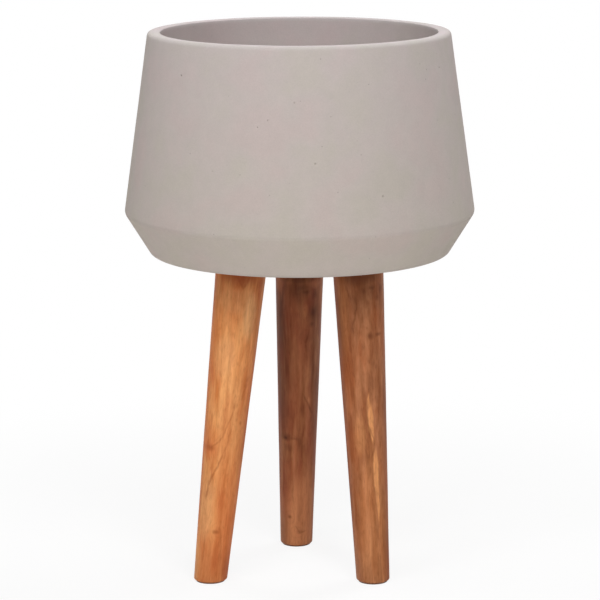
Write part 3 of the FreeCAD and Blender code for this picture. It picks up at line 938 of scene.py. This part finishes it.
# Each leg's board: its light, medium, dark, red and sapwood tones. The dark tone also paints the shade
# under the pot, and the sapwood tone the painted light at the right and back legs' feet.
BOARD_TONES = {
    "left": ("#F0AA69", "#D88548", "#8C3F19", "#D0713E", "#F4BA7E"),
    "right": ("#C28056", "#985A34", "#592809", "#A85629", "#EEA468"),
    "back": ("#BC7A50", "#884D2C", "#4A1F08", "#98482E", "#D88E5E"),
}
PITH = {"left": (mm(-46), mm(70)), "right": (mm(60), mm(48)), "back": (mm(30), mm(66))}
PITH_TILT = (0.045, -0.03, 0)  # radians from the leg's axis
RING_SPACING = {"left": mm(4.6), "right": mm(5.4), "back": mm(5.8)}
RING_DRAWN_OUT = 40  # how many times slower the rings change along the leg than across it
RING_BULGE = 1.6  # at a knot, in ring spacings
KNOT_SWELLING = (2.6, 1.2, 4)  # how far the rings swell about a knot, in its half sizes
GRAIN_CONTRAST = {"left": 1.2, "right": 1.35, "back": 0.95}

# Patterns of the grain: the size of its noise across the leg, how fast it changes along the leg against
# across it, the values between which it goes from 0 to 1, and its detail. Real fibres and pores are
# under 0.3 mm wide, and are drawn as coarse as they need to show.
GRAIN_PATTERNS = {
    "broad": (mm(13), 0.13, 0.4, 0.6, 3),
    "red": (mm(12), 0.2, 0.46, 0.68, 3),
    "streaks": (mm(3.4), 0.07, 0.34, 0.66, 3),
    "fibres": (mm(1.6), 0.04, 0.3, 0.7, 3),
    "flecks": (mm(2.6), 0.3, 0.48, 0.72, 2),
    "pores": (mm(0.8), 0.08, 0.6, 0.72, 1),
}
GRAIN_DEPTHS = {"streaks": 0.15, "fibres": 0.15, "flecks": 0.16, "rings": 0.14, "pores": 0.22}
RED_SHARE = 0.6

# Drift of the grain and of the marks' edges: its size across the leg, how fast it changes along the leg
# against across it, and its reach
GRAIN_DRIFT = (mm(24), 0.16, mm(9))
EDGE_DRIFT = (mm(5), 0.5, mm(2.6))

# Marks in the wood that the photograph doesn't show: how many, and the ranges of their bearing in
# degrees, their height as a share of the leg, their half sizes in millimetres and their darkness
MARK_DEPTH = mm(13)  # half of how far a mark reaches into the wood
LINE_OVERLAP = 0.65  # half the length of a line's part, as a share of its run
UNSEEN_KNOTS = 6
UNSEEN_LINES = 3
UNSEEN_BEARINGS = (15, 165)
UNSEEN_HEIGHTS = (0.06, 0.94)
UNSEEN_KNOT_RANGES = ((1.2, 3), (1.4, 4), (0.4, 0.75))
UNSEEN_LINE_RANGES = ((0.5, 0.8), (12, 26), (0.35, 0.6))


def on_leg(side, pixel):
    """The point that a pixel of the photograph shows on a leg, in the leg's own axes."""
    point, _ = seen_at(legs[side], pixel)
    return leg_turns[side].transposed() @ (point - leg_feet[side]) if point else None


def spots(side, marks):
    """Knots or patches as marks, each (middle, half sizes, turn, darkness). Some patches are painted
    shade and painted light.
    """
    parts = []
    for across, down, half_width, half_length, darkness in marks[side]:
        middle = on_leg(side, (across, down))
        if middle:
            half = Vector((mm(half_width), MARK_DEPTH, mm(half_length)))
            parts.append((middle, half, (0, 0, 0), darkness))
    return parts


def line_parts(side, marks):
    """Lines in the wood, each as a chain of slim marks."""
    parts = []
    for half_width, darkness, pixels in marks[side]:
        points = [on_leg(side, pixel) for pixel in pixels]
        for start, end in zip(points, points[1:]):
            if start and end:
                run = end - start
                half = Vector((mm(half_width), MARK_DEPTH, run.length * LINE_OVERLAP))
                parts.append(((start + end) / 2, half, (0, math.atan2(run.x, run.z), 0), darkness))
    return parts


def unseen_marks(side):
    """Knots and lines on the half of a leg that the photograph doesn't show."""
    chance = random.Random(f"teak {side}")
    length = leg_lengths[side]
    marks = []
    for ranges in [UNSEEN_KNOT_RANGES] * UNSEEN_KNOTS + [UNSEEN_LINE_RANGES] * UNSEEN_LINES:
        bearing = math.radians(chance.uniform(*UNSEEN_BEARINGS))
        height = chance.uniform(*UNSEEN_HEIGHTS) * length
        radius = LEG_FOOT_RADIUS + (LEG_TOP_RADIUS - LEG_FOOT_RADIUS) * height / length
        middle = Vector((math.cos(bearing) * radius, math.sin(bearing) * radius, height))
        half_width, half_length, darkness = [chance.uniform(*limits) for limits in ranges]
        half = Vector((mm(half_width), MARK_DEPTH, mm(half_length)))
        marks.append((middle, half, (0, 0, bearing - math.pi / 2), darkness))
    return marks[:UNSEEN_KNOTS], marks[UNSEEN_KNOTS:]


def strongest(add, place, parts, soft_edge):
    """How strongly any of some marks shows: its darkness in its middle, fading out at its edge."""
    strength = None
    for middle, half_sizes, turn, darkness in parts:
        near = add(
            "Mapping", {"Location": middle, "Rotation": turn, "Scale": half_sizes}, {"Vector": place},
            vector_type="TEXTURE",
        )
        away = add("VectorMath", links={0: near}, operation="LENGTH")
        mark = add(
            "MapRange", {"From Min": 1 + soft_edge, "From Max": 1 - soft_edge, "To Max": darkness},
            {"Value": away.outputs["Value"]}, interpolation_type="SMOOTHSTEP",
        )
        if strength:
            mark = add("Math", links={0: strength, 1: mark}, operation="MAXIMUM")
        strength = mark
    return strength


def mixed(add, first, second, factor, amount=1):
    """Two colours mixed by a pattern, at most by an amount."""
    share = add("Math", {1: amount}, {0: factor}, operation="MULTIPLY")
    values = {}
    links = {"Factor": share}
    for socket, colour in ((6, first), (7, second)):
        if isinstance(colour, str):
            values[socket] = linear(colour)
        else:
            links[socket] = colour
    return add("Mix", values, links, data_type="RGBA").outputs[2]


def along_grain(add, place, size, along, detail):
    """The outputs of a noise that is drawn out along the leg."""
    drawn_out = add("Mapping", {"Scale": (1, 1, along)}, {"Vector": place})
    values = {"Scale": 1 / size, "Detail": detail, "Roughness": 0.55}
    return add("TexNoise", values, {"Vector": drawn_out}).outputs


def drifted(add, place, size, along, reach):
    """The place, moved a little to and fro across and along the grain."""
    noise = along_grain(add, place, size, along, 3)["Color"]
    centred = add("VectorMath", {1: (0.5, 0.5, 0.5)}, {0: noise}, operation="SUBTRACT")
    return add("VectorMath", {1: (reach, reach, reach)}, {0: centred, 2: place}, operation="MULTIPLY_ADD")


def grain_pattern(add, place, size, along, low, high, detail):
    """A pattern of the grain, from 0 below a low value to 1 above a high one."""
    noise = along_grain(add, place, size, along, detail)["Fac"]
    return add("MapRange", {"From Min": low, "From Max": high}, {"Value": noise})


def growth_rings(add, side, place, swelling):
    """Growth rings about the tree's pith, a little wavy, and bulging round the knots."""
    around_pith = add(
        "Mapping", {"Location": (*PITH[side], 0), "Rotation": PITH_TILT, "Scale": (1, 1, RING_DRAWN_OUT)},
        {"Vector": place}, vector_type="TEXTURE",
    )
    radius = add("VectorMath", links={0: around_pith}, operation="LENGTH")
    bulged = add(
        "Math", {1: RING_SPACING[side] * RING_BULGE}, {0: swelling, 2: radius.outputs["Value"]},
        operation="MULTIPLY_ADD",
    )
    count = add("Math", {1: 1 / RING_SPACING[side]}, {0: bulged}, operation="MULTIPLY")
    phase = add("Math", links={0: count}, operation="FRACT")
    return add(
        "ValToRGB", links={"Fac": phase},
        stops=[(0, "#D8D8D8"), (0.1, "#808080"), (0.45, "#181818"), (0.8, "#505050"), (0.97, "#D8D8D8")],
    )


def oiled_teak(side):
    """Teak, turned, sanded along the grain and wiped with oil."""
    # Straight grain with soft growth rings and fine fibres, short dark pores, a few knots and dark or
    # pale streaks, and a low satin sheen. Each leg is cut from its own board. Painted shade darkens each
    # leg's top under the pot and the back leg's upper part, and painted light brightens the feet of the
    # right and back legs.
    material, add, shader, place = new_material(f"oiled_teak_{side}", IOR=1.48, Specular_IOR_Level=0.2)
    light, medium, dark, red, sapwood_and_painted_light = BOARD_TONES[side]
    leg = add(
        "Mapping", {"Location": leg_feet[side], "Rotation": leg_turns[side].to_euler()}, {"Vector": place},
        vector_type="TEXTURE",
    )
    grain = drifted(add, leg, *GRAIN_DRIFT)
    ragged = drifted(add, leg, *EDGE_DRIFT)

    unseen_knots, unseen_lines = unseen_marks(side)
    knots = spots(side, KNOTS) + unseen_knots
    lines = unseen_lines + line_parts(side, DARK_LINES)
    swells = []
    for middle, half_sizes, turn, _ in knots:
        swollen = [half * swelling for half, swelling in zip(half_sizes, KNOT_SWELLING)]
        swells.append((middle, swollen, turn, 1))
    patterns = {name: grain_pattern(add, grain, *values) for name, values in GRAIN_PATTERNS.items()}
    patterns["rings"] = growth_rings(add, side, grain, strongest(add, leg, swells, 1))

    colour = mixed(add, light, medium, patterns["broad"])
    colour = mixed(add, colour, red, patterns["red"], RED_SHARE)
    # Red patches; pale streaks and patches, with painted light at the feet; dark patches, with painted
    # shade under the pot.
    tinted = ((red, RED_SHADES, 0.9), (sapwood_and_painted_light, PALE_STREAKS_AND_PAINTED_LIGHT, 0.4), (dark, DARK_PATCHES_AND_PAINTED_SHADE, 0.9))
    for tone, marks, soft_edge in tinted:
        colour = mixed(add, colour, tone, strongest(add, ragged, spots(side, marks), soft_edge))
    for name, depth in GRAIN_DEPTHS.items():
        colour = mixed(add, colour, dark, patterns[name], depth * GRAIN_CONTRAST[side])
    for marks, soft_edge in ((lines, 0.85), (knots, 0.95)):
        colour = mixed(add, colour, dark, strongest(add, ragged, marks, soft_edge))
    link_surface(
        add, shader, colour, (0.46, 0.62), patterns["streaks"], (0.15, mm(0.2)), patterns["fibres"]
    )
    return material


def speckled(name, hex_colours, size, relief_depth, stretch, roughness, **shader_values):
    """A finish whose colour, roughness and relief vary with one fine grain."""
    material, add, shader, place = new_material(name, **shader_values)
    stretched = add("Mapping", {"Scale": stretch}, {"Vector": place})
    pattern = add("TexNoise", {"Scale": 1 / size, "Detail": 3, "Roughness": 0.6}, {"Vector": stretched})
    colour = add("ValToRGB", links={"Fac": pattern}, stops=zip((0.35, 0.65), hex_colours))
    link_surface(add, shader, colour, roughness, pattern, (0.4, relief_depth), pattern)
    return material


def give(piece, material):
    """The material takes every slot of the piece."""
    if not piece.data.materials:
        piece.data.materials.append(material)
    for material_slot in piece.material_slots:
        material_slot.material = material


give(pot, cast_concrete())
for side in SIDES:
    give(legs[side], oiled_teak(side))

# Stainless steel, rolled and cold-formed: fine rolling lines and a soft mirror
stainless = speckled(
    "rolled_stainless", ("#BDBBB7", "#D2D0CC"), mm(1.2), mm(0.03), (1, 12, 12), (0.24, 0.34), Metallic=1
)
# Brass, machined: yellow metal with fine turning lines round it
brass = speckled(
    "machined_brass", ("#C9A356", "#DDBB70"), mm(1), mm(0.03), (1, 1, 8), (0.22, 0.32), Metallic=1
)
# Rubber, moulded: near-black, matt, with a faint bloom
rubber = speckled(
    "moulded_rubber", ("#1E1D1C", "#2B2A28"), mm(1.6), mm(0.05), (1, 1, 1), (0.55, 0.7), IOR=1.52
)
# Wool felt, pressed and die-cut: matt brown, mottled by its fibres
felt = speckled(
    "pressed_felt", ("#6E4C36", "#94694B"), mm(0.9), mm(0.2), (1, 1, 2), (0.9, 1), Sheen_Weight=0.3
)
for pieces, finish in ((bolts, stainless), (inserts, brass), ([stopper], rubber), (felt_pads, felt)):
    for piece in pieces:
        give(piece, finish)
for side in SIDES:
    for node in ("steel_washer", "lock_washer"):
        give(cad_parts[f"{node}_{side}"], stainless)
    for node in ("sealing_washer", "leg_gasket"):
        give(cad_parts[f"{node}_{side}"], rubber)


# Studio
def seen_directly(add):
    """1 for rays from the camera, or by way of a gloss or glass, and 0 for light that falls on things."""
    rays = add("LightPath").outputs
    seen = rays["Is Camera Ray"]
    for kind in ("Is Glossy Ray", "Is Transmission Ray"):
        seen = add("Math", links={0: seen, 1: rays[kind]}, operation="MAXIMUM")
    return seen


WORLD_LIGHT = 0.09
FLOOR_SIZE = 40
SHADOW_REACH = 0.9  # metres from the middle within which the floor shows the planter's shadow
FLOOR_GLOW = 0.86  # how much of the floor's white the camera sees as even white near the planter


def pale_floor():
    """A matt white sweep. It keeps the planter's soft shadow, and runs out to plain white."""
    material, add, shader, place = new_material("white_sweep", Roughness=1, Specular_IOR_Level=0)
    texture = add("TexNoise", {"Scale": 1 / mm(60), "Detail": 2}, {"Vector": place})
    paper = add("ValToRGB", links={"Fac": texture}, stops=[(0.3, "#EDEDED"), (0.7, "#EFEFEF")])
    link(paper, shader.inputs["Base Color"])
    away = add("VectorMath", links={0: place}, operation="LENGTH").outputs["Value"]
    share = add(
        "MapRange",
        {"From Min": SHADOW_REACH / 3, "From Max": SHADOW_REACH, "To Min": FLOOR_GLOW, "To Max": 1},
        {"Value": away}, interpolation_type="SMOOTHSTEP",
    )
    factor = add("Math", links={0: share, 1: seen_directly(add)}, operation="MULTIPLY")
    glow = add("Emission")
    surface = add("MixShader", links={0: factor, 1: shader, 2: glow})
    output = next(node for node in material.node_tree.nodes if node.type == "OUTPUT_MATERIAL")
    link(surface, output.inputs["Surface"])
    return material


deselect_objects()
bpy.ops.mesh.primitive_plane_add(size=FLOOR_SIZE, location=(0, 0, 0))
floor = new_piece("studio_floor")
give(floor, pale_floor())

world = bpy.data.worlds.new("white_studio")
bpy.context.scene.world = world
world.use_nodes = True
world.node_tree.nodes.clear()
add = functools.partial(add_node, world.node_tree)
room, white = [
    add("Background", {"Color": (1, 1, 1, 1), "Strength": strength}) for strength in (WORLD_LIGHT, 1)
]
backdrop = add("MixShader", links={0: seen_directly(add), 1: room, 2: white})
add("OutputWorld", links={"Surface": backdrop})

LIT_HEIGHT = 0.35  # the lamps face the planter's axis at this height
LAMP_DISTANCE = 3
LAMP_SIZE = 1.1

# Each lamp's bearing, in degrees to the right of the front, its elevation and its power in watts
LAMPS = {
    "left_softbox": (-40, 40, 22),
    "right_softbox": (20, 40, 35.5),
    "low_softbox": (-10, 30, 20.5),
    "top_softbox": (0, 75, 17),
    "rear_right_softbox": (130, 50, 29),
    "rear_left_softbox": (-130, 50, 14),
}


def softbox(name, bearing, elevation, power):
    """A round soft lamp that faces the planter from a bearing and an elevation."""
    bearing, elevation = math.radians(bearing), math.radians(elevation)
    level = math.cos(elevation)
    towards = Vector((math.sin(bearing) * level, -math.cos(bearing) * level, math.sin(elevation)))
    deselect_objects()
    bpy.ops.object.light_add(type="AREA", location=Vector((0, 0, LIT_HEIGHT)) + towards * LAMP_DISTANCE)
    lamp = bpy.context.object
    lamp.name = name
    lamp.data.shape = "DISK"
    lamp.data.size = LAMP_SIZE
    lamp.data.energy = power
    lamp.rotation_euler = (-towards).to_track_quat("-Z", "Y").to_euler()


for name, (bearing, elevation, power) in LAMPS.items():
    softbox(name, bearing, elevation, power)
bpy.context.scene.view_settings.view_transform = "Standard"
